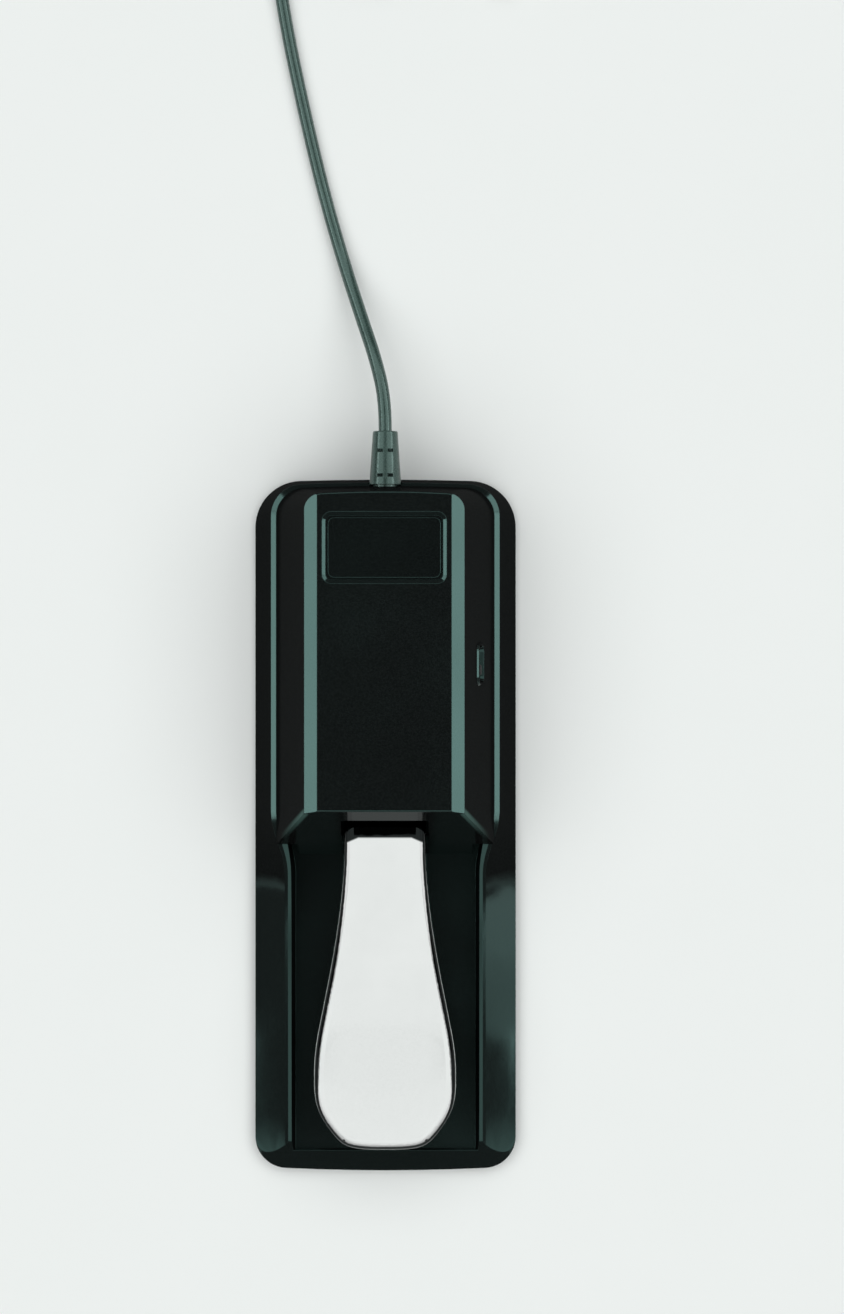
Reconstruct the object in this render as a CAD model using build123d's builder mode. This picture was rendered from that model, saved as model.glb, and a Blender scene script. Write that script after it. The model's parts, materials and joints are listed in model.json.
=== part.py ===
"""Sustain pedal: a sprung foot switch in a two-piece housing, with its cord and jack plug.

The part stands on z = 0. +Y points to the rear, where the cord leaves, and -Y to the toe of the pedal.
The origin is under the middle of the housing. All sizes are in millimetres.
"""

import math
import os

from build123d import *

# Housing footprint
HALF_WIDTH = 45.0
HALF_LENGTH = 119.4
REAR_BOW = 1.0
FRONT_BOW = 1.4
REAR_CORNER = 16.0
FRONT_CORNER = 11.0

# Heights
MAT_THICK = 2.5
PLATE_THICK = 1.5
RIM_Z = 1.2
BURIED_Z = 4.0
OVERRUN = 3.0
FLOOR_Z = 6.0
SLOPE_Z = 5.0
LEDGE_Z = 20.0
ROOF_Z = 64.0
WALL = 2.5
PLATE_Z = MAT_THICK + PLATE_THICK

# Ledge around the upper housing, and the wings that run forward from it
LEDGE_HALF = 38.35
LEDGE_REAR = 117.0
LEDGE_CORNER = 10.0
LEDGE_WIDTH = 3.55
CREST_FACET = 1.8
WING_FACET = 1.1
FACET_ANGLE = 30.0
JOG_START = 5.0
JOG_LENGTH = 21.0
WING_HALF = 34.0
WING_WIDTH = 1.7
WING_DRAFT = 1.2
DIP_START = -5.0
DIP_END = -28.0
DIP_Z = 14.5
TOE_Z = 9.8
LIP_INSIDE = -112.0
TOE_SLOPE = 1.85

# Upper housing
UPPER_BASE_HALF = 37.3
UPPER_TOP_HALF = 26.22
UPPER_FRONT = (-6.0, 6.4)
UPPER_REAR = (116.7, 113.6)
ROOF_ROUND = 0.6
BEVEL_IN = 22.5
BEVEL_OUT = 26.85
BEVEL_DROP = 2.5
OPENING_HALF = 14.8
OPENING_Z = (22.0, 52.0)
BADGE_HALF = (20.25, 11.45)
BADGE_Y = 94.65
BADGE_DEPTH = 1.1
BADGE_RIM = 1.2
BADGE_CORNER = 3.2

# Lever and its pivot
PIVOT_Y = 60.0
PIVOT_Z = 33.0
SHAFT_R = 2.5
SHAFT_HALF = 20.0
EAR_IN = 15.6
EAR_THICK = 2.0
EAR_R = 6.5
KNUCKLE_HALF = 14.0
KNUCKLE_R = 6.0
BUSH_R = 4.2
ARM_HALF = 11.0
ARM_TOP = 36.0
ARM_REAR = 86.0
SHEET = 2.5
SKIRT_DEPTH = 7.0
NECK_HALF = 14.0
FOOT_HALF = 24.35
NOSE_Y = -110.0
SHOULDER_Y = -0.8
SHOULDER_Z = 38.5
RAMP_TOP = (-5.1, 38.2)
ARM_START = 9.0
SKIN_ROUND = 3.5

# Spring, stops and switch, by their distance along the arm
SPRING_Y = 27.0
SPRING_R = 6.0
SPRING_WIRE = 0.8
SPRING_Z = (9.0, 31.0)
SPRING_TURNS = 6
DOWN_STOP_Y = 13.5
UP_STOP_Y = 76.5
PLUNGER_Y = 44.0
SWITCH_Y = 45.1
SWITCH_Z = (13.0, 23.2)
SWITCH_HALF = (3.2, 9.9)
CLEAR = 0.05

# Polarity switch in the right-hand wall
POLARITY_Y = 55.75
POLARITY_Z = 40.0
SLOT_RIM = (12.6, 6.8)
SLOT_ROUND = 2.2
RIM_PROUD = 0.6
BOARD_X = 22.4
BOARD_THICK = 1.6
BOARD_SCREWS_Y = (42.0, 70.0)

# Screws
HOUSING_SCREWS = [(-21.5, 12.0), (21.5, 12.0), (-21.5, 104.0), (21.5, 104.0)]
SCREW_R = 1.45
BOSS_R = 4.0
BOSS_Z = 18.0
CLAMP_Y = 101.0
CLAMP_X = 7.0

# Cord and plug
CORD_D = 4.5
CORD_R = CORD_D / 2
CORD_Z = 20.0
BOOT_START = 117.2
BOOT_END = 135.5
BOOT_R = (5.45, 4.25)
COIL_X = -3.25
COIL_Y = 334.0
COIL_RING = (18.0, 36.0)
COIL_LIFT = 0.8
TIE_THICK = 0.8
PLUG_X = 41.0
PLUG_Z = 6.0
PLUG_Y = (352.0, 340.0, 320.0, 299.0, 297.4, 289.0)
SLEEVE_R = 3.175
LEAD_ROUTE = [
    (0.0, BOOT_END, CORD_Z),
    (0.0, 146.0, CORD_Z),
    (-3.2, 160.0, 17.4),
    (-8.2, 175.0, 10.6),
    (-14.0, 193.0, 4.0),
    (-21.0, 217.0, 2.4),
    (-28.0, 246.0, 2.4),
    (-34.6, 277.0, 2.4),
    (-38.6, 304.0, 3.05),
    (-39.25, 321.0, 3.05),
]
TAIL_ROUTE = [
    (-27.3, 361.6, 7.55),
    (-15.0, 371.6, 6.4),
    (-2.3, 381.0, 4.6),
    (6.4, 384.5, 3.5),
    (15.6, 385.1, 2.7),
    (24.6, 382.6, 2.4),
    (32.3, 377.5, 3.1),
    (38.0, 370.1, 4.8),
    (PLUG_X, 361.3, PLUG_Z),
    (PLUG_X, PLUG_Y[0], PLUG_Z),
]

os.makedirs("parts", exist_ok=True)


def save(part, name):
    """Label a finished piece and write it under its own name."""
    part.label = name
    export_step(part, f"parts/{name}.step")


def outline(half, front, rear, front_corner, rear_corner, front_bow=0.0, rear_bow=0.0):
    """Closed plan outline with straight sides, bowed ends and rounded corners."""
    front_side = front + front_bow
    rear_side = rear - rear_bow
    with BuildLine() as edge:
        Line((half, front_side), (half, rear_side))
        if rear_bow:
            ThreePointArc((half, rear_side), (0, rear), (-half, rear_side))
        else:
            Line((half, rear), (-half, rear))
        Line((-half, rear_side), (-half, front_side))
        if front_bow:
            ThreePointArc((-half, front_side), (0, front), (half, front_side))
        else:
            Line((-half, front), (half, front))
    face = make_face(edge.edges())
    corners = face.vertices().sort_by(Axis.Y)
    if rear_corner:
        fillet(corners[2:], rear_corner)
    if front_corner:
        fillet(corners[:2], front_corner)


def smooth(value):
    """Ease from 0 to 1 with level ends."""
    t = min(max(value, 0.0), 1.0)
    return t * t * (3 - 2 * t)


def crest(y):
    """Half-width and height of the wing's crest at one place along the part."""
    jog = smooth((JOG_START - y) / JOG_LENGTH)
    half = LEDGE_HALF + (WING_HALF - LEDGE_HALF) * jog
    if y > DIP_END:
        dip = smooth((DIP_START - y) / (DIP_START - DIP_END))
        return half, LEDGE_Z + (DIP_Z - LEDGE_Z) * dip
    along = (DIP_END - y) / (DIP_END + HALF_LENGTH)
    return half, DIP_Z + (TOE_Z - DIP_Z) * along


def facet_drop(width):
    """Height that a facet of this width loses."""
    return width * math.tan(math.radians(FACET_ANGLE))


def wing_corners(y):
    """Corners of the right-hand wing's section at one place, from its buried foot round to its inner wall."""
    half, height = crest(y)
    jog = smooth((JOG_START - y) / JOG_LENGTH)
    facet = CREST_FACET + (WING_FACET - CREST_FACET) * jog
    inside = half - LEDGE_WIDTH + (LEDGE_WIDTH - WING_WIDTH) * jog
    lean = WING_DRAFT * jog / (height - FLOOR_Z)
    foot = inside - lean * (height - BURIED_Z)
    outer = half + facet / 2
    outer_z = height - facet_drop(facet)
    fall = (outer_z - SLOPE_Z) / (HALF_WIDTH - outer)
    return [
        (foot, y, BURIED_Z),
        (foot, y, -OVERRUN),
        (HALF_WIDTH + OVERRUN, y, -OVERRUN),
        (HALF_WIDTH + OVERRUN, y, SLOPE_Z - OVERRUN * fall),
        (outer, y, outer_z),
        (half - facet / 2, y, height),
        (inside, y, height),
    ]


def wing():
    """Right-hand wing as ruled faces between curves that run along its corners, overrunning the footprint."""
    stations = [JOG_START + OVERRUN, JOG_START] + [JOG_START - 4.125 * step for step in range(1, 9)]
    stations += [-45.0, -65.0, -85.0, -105.0, -HALF_LENGTH - OVERRUN]
    rows = [wing_corners(y) for y in stations]
    traces = [Edge.make_spline([Vector(*row[k]) for row in rows]) for k in range(len(rows[0]))]
    sides = [Face.make_surface_from_curves(a, b) for a, b in zip(traces, traces[1:] + traces[:1])]
    ends = [Face(Wire.make_polygon([Vector(*corner) for corner in row])) for row in (rows[0], rows[-1])]
    return Solid(Shell(sides + ends))


# Lower housing -------------------------------------------------------------------------------------
with BuildPart() as toe_shape:
    with BuildSketch(Plane.XY.offset(RIM_Z)):
        outline(HALF_WIDTH, -HALF_LENGTH, JOG_START, FRONT_CORNER, 0, FRONT_BOW)
    extrude(amount=SLOPE_Z - RIM_Z)
    slope_run = (LEDGE_Z + 1 - SLOPE_Z) * TOE_SLOPE
    with BuildSketch(Plane.XY.offset(SLOPE_Z)):
        outline(HALF_WIDTH, -HALF_LENGTH, JOG_START, FRONT_CORNER, 0, FRONT_BOW)
    with BuildSketch(Plane.XY.offset(LEDGE_Z + 1)):
        outline(HALF_WIDTH, slope_run - HALF_LENGTH, JOG_START, FRONT_CORNER, 0, FRONT_BOW)
    loft(ruled=True)

right_wing = wing()
with BuildPart() as front_half:
    add(right_wing)
    mirror(about=Plane.YZ)
    with Locations((0, JOG_START + OVERRUN, FLOOR_Z)):
        Box(2 * WING_HALF - 1, 150.0, FLOOR_Z + OVERRUN, align=(Align.CENTER, Align.MAX, Align.MAX))
    with Locations((0, LIP_INSIDE, -OVERRUN)):
        Box(2 * WING_HALF - 1, 15.0, 30.0, align=(Align.CENTER, Align.MAX, Align.MIN))
    add(toe_shape.part, mode=Mode.INTERSECT)

with BuildPart() as rear_half:
    with BuildSketch(Plane.XY.offset(RIM_Z)):
        outline(HALF_WIDTH, JOG_START, HALF_LENGTH, 0, REAR_CORNER, 0, REAR_BOW)
    extrude(amount=SLOPE_Z - RIM_Z)
    with BuildSketch(Plane.XY.offset(SLOPE_Z)):
        outline(HALF_WIDTH, JOG_START, HALF_LENGTH, 0, REAR_CORNER, 0, REAR_BOW)
    reach = CREST_FACET / 2
    facet_z = LEDGE_Z - facet_drop(CREST_FACET)
    with BuildSketch(Plane.XY.offset(facet_z)):
        outline(LEDGE_HALF + reach, JOG_START, LEDGE_REAR + reach, 0, LEDGE_CORNER + reach, 0, REAR_BOW)
    loft(ruled=True)
    with BuildSketch(Plane.XY.offset(facet_z)):
        outline(LEDGE_HALF + reach, JOG_START, LEDGE_REAR + reach, 0, LEDGE_CORNER + reach, 0, REAR_BOW)
    with BuildSketch(Plane.XY.offset(LEDGE_Z)):
        outline(LEDGE_HALF - reach, JOG_START, LEDGE_REAR - reach, 0, LEDGE_CORNER - reach, 0, REAR_BOW)
    loft(ruled=True)
    with BuildSketch(Plane.XY.offset(FLOOR_Z)):
        outline(HALF_WIDTH - 3.0, JOG_START, HALF_LENGTH - 3.0, 0, REAR_CORNER - 3.0, 0, REAR_BOW)
    with BuildSketch(Plane.XY.offset(LEDGE_Z)):
        outline(LEDGE_HALF - LEDGE_WIDTH, JOG_START, LEDGE_REAR - 3.0, 0, LEDGE_CORNER - 3.0, 0, REAR_BOW)
    loft(ruled=True, mode=Mode.SUBTRACT)

with BuildPart() as lower_housing:
    add(front_half.part)
    add(rear_half.part)
    # Recess for the steel plate and the mat
    with BuildSketch(Plane.XY.offset(RIM_Z)):
        outline(HALF_WIDTH - 2.7, 2.7 - HALF_LENGTH, HALF_LENGTH - 2.7, 8.5, 13.5, FRONT_BOW, REAR_BOW)
    extrude(amount=PLATE_Z - RIM_Z, mode=Mode.SUBTRACT)
    # Bosses for the housing screws
    with Locations(*[(x, y, PLATE_Z) for x, y in HOUSING_SCREWS]):
        Cylinder(BOSS_R, BOSS_Z - PLATE_Z, align=(Align.CENTER, Align.CENTER, Align.MIN))
        Cylinder(1.7, BOSS_Z, align=(Align.CENTER, Align.CENTER, Align.MIN), mode=Mode.SUBTRACT)
        Cylinder(3.0, 4.0, align=(Align.CENTER, Align.CENTER, Align.MIN), mode=Mode.SUBTRACT)
    # Posts under the two stops
    with Locations((0, UP_STOP_Y, FLOOR_Z)):
        Cylinder(5.5, 26.0 - FLOOR_Z, align=(Align.CENTER, Align.CENTER, Align.MIN))
    with Locations((0, DOWN_STOP_Y, FLOOR_Z)):
        Cylinder(4.4, 21.0 - FLOOR_Z, align=(Align.CENTER, Align.CENTER, Align.MIN))
    # Wall that carries the foot switch, with its screw holes
    wall_x = -SWITCH_HALF[0] - 1.6
    with Locations((wall_x, SWITCH_Y, (FLOOR_Z + SWITCH_Z[1]) / 2)):
        Box(3.0, 2 * SWITCH_HALF[1], SWITCH_Z[1] - FLOOR_Z)
    with Locations(*[Location((wall_x, SWITCH_Y + dy, 15.0), (0, 90, 0)) for dy in (-4.8, 4.8)]):
        Cylinder(1.1, 3.2, mode=Mode.SUBTRACT)
    # Saddle and screw pillars of the cable clamp
    with Locations((0, CLAMP_Y, FLOOR_Z)):
        Box(4.0, 6.0, CORD_Z - CORD_R - FLOOR_Z, align=(Align.CENTER, Align.CENTER, Align.MIN))
    with Locations((-CLAMP_X, CLAMP_Y, FLOOR_Z), (CLAMP_X, CLAMP_Y, FLOOR_Z)):
        Cylinder(3.0, CORD_Z + CORD_R - FLOOR_Z, align=(Align.CENTER, Align.CENTER, Align.MIN))
    with Locations((-CLAMP_X, CLAMP_Y, 12.0), (CLAMP_X, CLAMP_Y, 12.0)):
        Cylinder(1.25, 12.0, align=(Align.CENTER, Align.CENTER, Align.MIN), mode=Mode.SUBTRACT)
    # Clearance for the screws of the pivot bracket
    with Locations((-8, 59, 3), (8, 59, 3), (-8, 67, 3), (8, 67, 3)):
        Cylinder(1.6, 5.0, align=(Align.CENTER, Align.CENTER, Align.MIN), mode=Mode.SUBTRACT)
    # Half of the strain relief's hole, and the seat for its shoulder
    with Locations(Location((0, 116.0, CORD_Z), (90, 0, 0))):
        Cylinder(4.3, 12.0, mode=Mode.SUBTRACT)
    with Locations(Location((0, BOOT_START + 3.0, CORD_Z), (90, 0, 0))):
        Cylinder(5.8, 6.0, mode=Mode.SUBTRACT)
save(lower_housing.part, "lower_housing")

# Upper housing -------------------------------------------------------------------------------------
with BuildPart() as upper_housing:
    with BuildSketch(Plane.XY.offset(LEDGE_Z)):
        outline(UPPER_BASE_HALF, UPPER_FRONT[0], UPPER_REAR[0], 8.0, 10.0, 0, REAR_BOW)
    with BuildSketch(Plane.XY.offset(ROOF_Z)):
        outline(UPPER_TOP_HALF, UPPER_FRONT[1], UPPER_REAR[1], 5.0, 5.5, 0, REAR_BOW)
    loft(ruled=True)
    fillet(upper_housing.faces().sort_by(Axis.Z)[-1].edges(), ROOF_ROUND)
    # Long flat bevels on both sides of the roof
    with BuildSketch(Plane.XZ.offset(10)):
        with BuildLine():
            slope = BEVEL_DROP / (BEVEL_OUT - BEVEL_IN)
            Polyline(
                (BEVEL_IN, ROOF_Z),
                (BEVEL_IN, ROOF_Z + 3),
                (BEVEL_IN + 9, ROOF_Z + 3),
                (BEVEL_IN + 9, ROOF_Z - 9 * slope),
                close=True,
            )
        make_face()
        mirror(about=Plane.YZ)
    extrude(amount=-135, mode=Mode.SUBTRACT)
    # Front skirt between the wings, in line with the front wall
    lean = (UPPER_FRONT[1] - UPPER_FRONT[0]) / (ROOF_Z - LEDGE_Z)
    skirt_z = FLOOR_Z + 0.2
    with BuildSketch(Plane.YZ):
        with BuildLine():
            Polyline(
                (UPPER_FRONT[0] + 0.6 * lean, LEDGE_Z + 0.6),
                (UPPER_FRONT[0] + 3.0, LEDGE_Z + 0.6),
                (UPPER_FRONT[0] + 3.0 + lean * (skirt_z - LEDGE_Z), skirt_z),
                (UPPER_FRONT[0] + lean * (skirt_z - LEDGE_Z), skirt_z),
                close=True,
            )
        make_face()
    extrude(amount=30.0, both=True)
    # Hollow inside
    knee_z = 57.0
    knee_half = UPPER_BASE_HALF - WALL - (knee_z - LEDGE_Z) * (UPPER_BASE_HALF - UPPER_TOP_HALF) / (
        ROOF_Z - LEDGE_Z
    )
    knee_front = UPPER_FRONT[0] + WALL + (knee_z - LEDGE_Z) * lean
    with BuildSketch(Plane.XY.offset(LEDGE_Z)):
        outline(UPPER_BASE_HALF - WALL, UPPER_FRONT[0] + WALL, UPPER_REAR[0] - WALL, 5.5, 7.5, 0, REAR_BOW)
    with BuildSketch(Plane.XY.offset(knee_z)):
        outline(knee_half, knee_front, UPPER_REAR[1] - WALL, 4.0, 4.5, 0, REAR_BOW)
    loft(ruled=True, mode=Mode.SUBTRACT)
    with BuildSketch(Plane.XY.offset(knee_z)):
        outline(knee_half, knee_front, UPPER_REAR[1] - WALL, 4.0, 4.5, 0, REAR_BOW)
    with BuildSketch(Plane.XY.offset(ROOF_Z - WALL)):
        outline(21.5, knee_front + 1.5, UPPER_REAR[1] - WALL - 1, 4.0, 4.5, 0, REAR_BOW)
    loft(ruled=True, mode=Mode.SUBTRACT)
    # Screw bosses, and the posts that carry the circuit board
    with Locations(*[(x, y, BOSS_Z + 0.2) for x, y in HOUSING_SCREWS]):
        Cylinder(BOSS_R, 43.0, align=(Align.CENTER, Align.CENTER, Align.MIN))
    with Locations(*[(x, y, BOSS_Z) for x, y in HOUSING_SCREWS]):
        Cylinder(1.5, 14.0, align=(Align.CENTER, Align.CENTER, Align.MIN), mode=Mode.SUBTRACT)
    with Locations(*[Location((BOARD_X + BOARD_THICK, y, POLARITY_Z), (0, 90, 0)) for y in BOARD_SCREWS_Y]):
        Cylinder(3.0, 6.6, align=(Align.CENTER, Align.CENTER, Align.MIN))
        Cylinder(1.15, 5.4, align=(Align.CENTER, Align.CENTER, Align.MIN), mode=Mode.SUBTRACT)
    # Opening for the lever
    with BuildSketch(Plane.XZ.offset(12)):
        with Locations((0, sum(OPENING_Z) / 2)):
            Rectangle(2 * OPENING_HALF, OPENING_Z[1] - OPENING_Z[0])
        fillet(vertices().group_by(Axis.Y)[-1], 1.6)
    extrude(amount=-24, mode=Mode.SUBTRACT)
    # Recess for the badge
    rim_outer = [2 * half + BADGE_RIM for half in BADGE_HALF]
    rim_inner = [2 * half - BADGE_RIM for half in BADGE_HALF]
    with BuildSketch(Plane.XY.offset(ROOF_Z)):
        with Locations((0, BADGE_Y)):
            RectangleRounded(*rim_outer, BADGE_CORNER)
    extrude(amount=-facet_drop(BADGE_RIM), taper=90 - FACET_ANGLE, mode=Mode.SUBTRACT)
    with BuildSketch(Plane.XY.offset(ROOF_Z - BADGE_DEPTH)):
        with Locations((0, BADGE_Y)):
            RectangleRounded(*rim_inner, BADGE_CORNER - BADGE_RIM)
    extrude(amount=BADGE_DEPTH, mode=Mode.SUBTRACT)
    # Finger recess and slot of the polarity switch, square to the leaning wall
    wall_lean = math.degrees(math.atan2(UPPER_BASE_HALF - UPPER_TOP_HALF, ROOF_Z - LEDGE_Z))
    wall_half = UPPER_BASE_HALF - (POLARITY_Z - LEDGE_Z) * math.tan(math.radians(wall_lean))
    wall_plane = Plane(
        origin=(wall_half, POLARITY_Y, POLARITY_Z),
        x_dir=(0, 1, 0),
        z_dir=(math.cos(math.radians(wall_lean)), 0, math.sin(math.radians(wall_lean))),
    )
    skirt = 2 * RIM_PROUD
    with BuildSketch(wall_plane):
        RectangleRounded(SLOT_RIM[0] + 2 * skirt, SLOT_RIM[1] + 2 * skirt, SLOT_ROUND + skirt)
    extrude(amount=RIM_PROUD, taper=45)
    with BuildSketch(wall_plane.offset(RIM_PROUD)):
        RectangleRounded(*SLOT_RIM, SLOT_ROUND)
    extrude(amount=-RIM_PROUD - 1.0, taper=20, mode=Mode.SUBTRACT)
    with BuildSketch(Plane.YZ.offset(BOARD_X)):
        with Locations((POLARITY_Y, POLARITY_Z)):
            RectangleRounded(9.4, 4.0, 0.8)
    extrude(amount=12.0, mode=Mode.SUBTRACT)
    # Upper half of the strain relief's hole, and the seat for its shoulder
    with Locations(Location((0, 116.0, CORD_Z), (90, 0, 0))):
        Cylinder(4.3, 12.0, mode=Mode.SUBTRACT)
    with Locations(Location((0, BOOT_START + 3.0, CORD_Z), (90, 0, 0))):
        Cylinder(5.8, 6.0, mode=Mode.SUBTRACT)
save(upper_housing.part, "upper_housing")

with BuildPart() as badge_plate:
    with BuildSketch(Plane.XY.offset(ROOF_Z - BADGE_DEPTH)):
        with Locations((0, BADGE_Y)):
            RectangleRounded(2 * BADGE_HALF[0] - 2.6, 2 * BADGE_HALF[1] - 2.6, 2.2)
    extrude(amount=0.8)
    fillet(badge_plate.faces().sort_by(Axis.Z)[-1].edges(), 0.25)
save(badge_plate.part, "badge_plate")

# Base ----------------------------------------------------------------------------------------------
with BuildPart() as base_plate:
    with BuildSketch(Plane.XY.offset(MAT_THICK)):
        outline(HALF_WIDTH - 3.0, 3.0 - HALF_LENGTH, HALF_LENGTH - 3.0, 8.0, 13.0, FRONT_BOW, REAR_BOW)
    extrude(amount=PLATE_THICK)
    with Locations(*[(x, y, MAT_THICK) for x, y in HOUSING_SCREWS]):
        Cylinder(3.2, 2 * PLATE_THICK, mode=Mode.SUBTRACT)
    with Locations((-8, 59, MAT_THICK), (8, 59, MAT_THICK), (-8, 67, MAT_THICK), (8, 67, MAT_THICK)):
        Cylinder(1.5, 2 * PLATE_THICK, mode=Mode.SUBTRACT)
save(base_plate.part, "base_plate")

with BuildPart() as rubber_mat:
    with BuildSketch():
        outline(HALF_WIDTH - 3.0, 3.0 - HALF_LENGTH, HALF_LENGTH - 3.0, 8.0, 13.0, FRONT_BOW, REAR_BOW)
    extrude(amount=MAT_THICK)
    # Grip grooves across the underside
    with Locations((0, 0, 0)):
        with GridLocations(0, 12.0, 1, 18):
            Box(72.0, 2.0, 1.6, mode=Mode.SUBTRACT)
save(rubber_mat.part, "rubber_mat")

# Pivot ---------------------------------------------------------------------------------------------
with BuildPart() as pivot_bracket:
    with BuildSketch(Plane.XY.offset(FLOOR_Z)):
        with Locations((0, 63)):
            Rectangle(2 * (EAR_IN + EAR_THICK), 14)
    extrude(amount=2.0)
    with BuildSketch(Plane.YZ.offset(EAR_IN)):
        with Locations((PIVOT_Y, PIVOT_Z)):
            Circle(EAR_R)
        with Locations((PIVOT_Y, (FLOOR_Z + PIVOT_Z) / 2)):
            Rectangle(2 * EAR_R, PIVOT_Z - FLOOR_Z)
        with Locations((PIVOT_Y, PIVOT_Z)):
            Circle(SHAFT_R + 0.02, mode=Mode.SUBTRACT)
    extrude(amount=EAR_THICK)
    mirror(about=Plane.YZ)
    with Locations((-8, 59, 5), (8, 59, 5), (-8, 67, 5), (8, 67, 5)):
        Cylinder(1.7, 4.0, align=(Align.CENTER, Align.CENTER, Align.MIN), mode=Mode.SUBTRACT)
save(pivot_bracket.part, "pivot_bracket")


def cross_screw(head_r, head_h, shank_r, shank_l):
    """Pan-head screw standing on the end of its shank, with a cross recess in its head."""
    with BuildPart(mode=Mode.PRIVATE) as screw:
        Cylinder(shank_r, shank_l, align=(Align.CENTER, Align.CENTER, Align.MIN))
        with Locations((0, 0, shank_l)):
            Cylinder(head_r, head_h, align=(Align.CENTER, Align.CENTER, Align.MIN))
        fillet(screw.faces().sort_by(Axis.Z)[-1].edges(), 0.4 * head_h)
        with Locations((0, 0, shank_l + head_h)):
            Box(1.2 * head_r, 0.3 * head_r, head_h, mode=Mode.SUBTRACT)
            Box(0.3 * head_r, 1.2 * head_r, head_h, mode=Mode.SUBTRACT)
    return screw.part


def screw_set(name, screw, places):
    """Identical screws, each in its own place, as one group of separate solids."""
    group = Compound(children=[screw.moved(place) for place in places])
    save(group, name)


bracket_screw = cross_screw(2.7, 1.8, SCREW_R, 8.0 - MAT_THICK - 0.1)
bracket_spots = [(-8, 59), (8, 59), (-8, 67), (8, 67)]
screw_set("bracket_screws", bracket_screw, [Location((x, y, MAT_THICK + 0.1)) for x, y in bracket_spots])

housing_screw = cross_screw(2.8, 2.0, SCREW_R, 20.0)
screw_set(
    "housing_screws",
    housing_screw,
    [Location((x, y, PLATE_Z + 4.0 + 20.0), (180, 0, 0)) for x, y in HOUSING_SCREWS],
)

clamp_screw = cross_screw(2.6, 1.6, 1.2, 11.0)
screw_set(
    "clamp_screws",
    clamp_screw,
    [Location((x, CLAMP_Y, CORD_Z + CORD_R + 2.5 - 11.0)) for x in (-CLAMP_X, CLAMP_X)],
)

switch_screw = cross_screw(2.0, 1.3, 1.05, 2 * SWITCH_HALF[0] + 2.8)
screw_set(
    "switch_screws",
    switch_screw,
    [Location((-SWITCH_HALF[0] - 2.8, SWITCH_Y + dy, 15.0), (0, 90, 0)) for dy in (-4.8, 4.8)],
)

board_screw = cross_screw(2.2, 1.2, 1.1, BOARD_THICK + 5.0)
screw_set(
    "board_screws",
    board_screw,
    [Location((BOARD_X + BOARD_THICK + 5.0, y, POLARITY_Z), (0, -90, 0)) for y in BOARD_SCREWS_Y],
)

with BuildPart() as pivot_shaft:
    with Locations(Location((0, PIVOT_Y, PIVOT_Z), (0, 90, 0))):
        Cylinder(SHAFT_R, 2 * SHAFT_HALF)
    chamfer(pivot_shaft.edges().filter_by(GeomType.CIRCLE), 0.4)
    for side in (-1, 1):
        with BuildSketch(Plane.YZ.offset(side * 18.4)):
            with Locations((PIVOT_Y, PIVOT_Z)):
                Circle(SHAFT_R + 1)
                Circle(SHAFT_R - 0.5, mode=Mode.SUBTRACT)
        extrude(amount=0.45, both=True, mode=Mode.SUBTRACT)
save(pivot_shaft.part, "pivot_shaft")

with BuildPart() as shaft_clips:
    for side in (-1, 1):
        with BuildSketch(Plane.YZ.offset(side * 18.4)):
            with Locations((PIVOT_Y, PIVOT_Z)):
                Circle(4.6)
                Circle(SHAFT_R - 0.45, mode=Mode.SUBTRACT)
            with Locations((PIVOT_Y, PIVOT_Z + 4)):
                Rectangle(3.4, 8, mode=Mode.SUBTRACT)
        extrude(amount=0.35, both=True)
save(shaft_clips.part, "shaft_clips")

# Lever ---------------------------------------------------------------------------------------------


def foot_side(drop, depth, toe, heel):
    """Side view of a band of the foot: ramped tread, then a shoulder down to the arm's level."""
    with BuildLine() as edge:
        tread = Spline(
            (toe, 31.8 - drop),
            (-88.0, 32.6 - drop),
            (-50.0, 34.4 - drop),
            (-25.0, 36.45 - drop),
            (RAMP_TOP[0], RAMP_TOP[1] - drop),
            (SHOULDER_Y, SHOULDER_Z - drop),
            tangents=((1, 0.02), (1, 0)),
        )
        shoulder = Spline(tread @ 1, (ARM_START, ARM_TOP - drop), tangents=((1, 0), (1, 0)))
        top_end = Line(shoulder @ 1, (heel, ARM_TOP - drop))
        back = Line(top_end @ 1, (heel, ARM_TOP - depth))
        under_end = Line(back @ 1, (ARM_START, ARM_TOP - depth))
        throat = Spline(under_end @ 1, (SHOULDER_Y, SHOULDER_Z - depth), tangents=((-1, 0), (-1, 0)))
        sole = Spline(
            throat @ 1,
            (-50.0, 34.4 - depth),
            (-88.0, 32.6 - depth),
            (toe, 31.8 - depth),
            tangents=((-1, 0), (-1, -0.02)),
        )
        Line(sole @ 1, tread @ 0)
    return edge.edges()


def foot_plan(inset, heel):
    """Plan of the foot: straight neck that widens to a blunt rounded nose."""
    neck = NECK_HALF - inset
    with BuildLine() as edge:
        side = Spline(
            (neck, -6.0),
            (15.3 - inset, -26.0),
            (18.6 - inset, -47.6),
            (22.3 - inset, -66.5),
            (FOOT_HALF - inset, -85.5),
            tangents=((0, -1), (0, -1)),
        )
        Spline(
            side @ 1,
            (22.6 - inset, -97.2 + 0.3 * inset),
            (17.4 - 0.8 * inset, -105.2 + 0.8 * inset),
            (0, NOSE_Y + inset),
            tangents=((0, -1), (-1, 0)),
        )
        Polyline((neck, -6.0), (neck, heel), (0, heel))
        mirror(about=Plane.YZ)
    return edge.edges()


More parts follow.
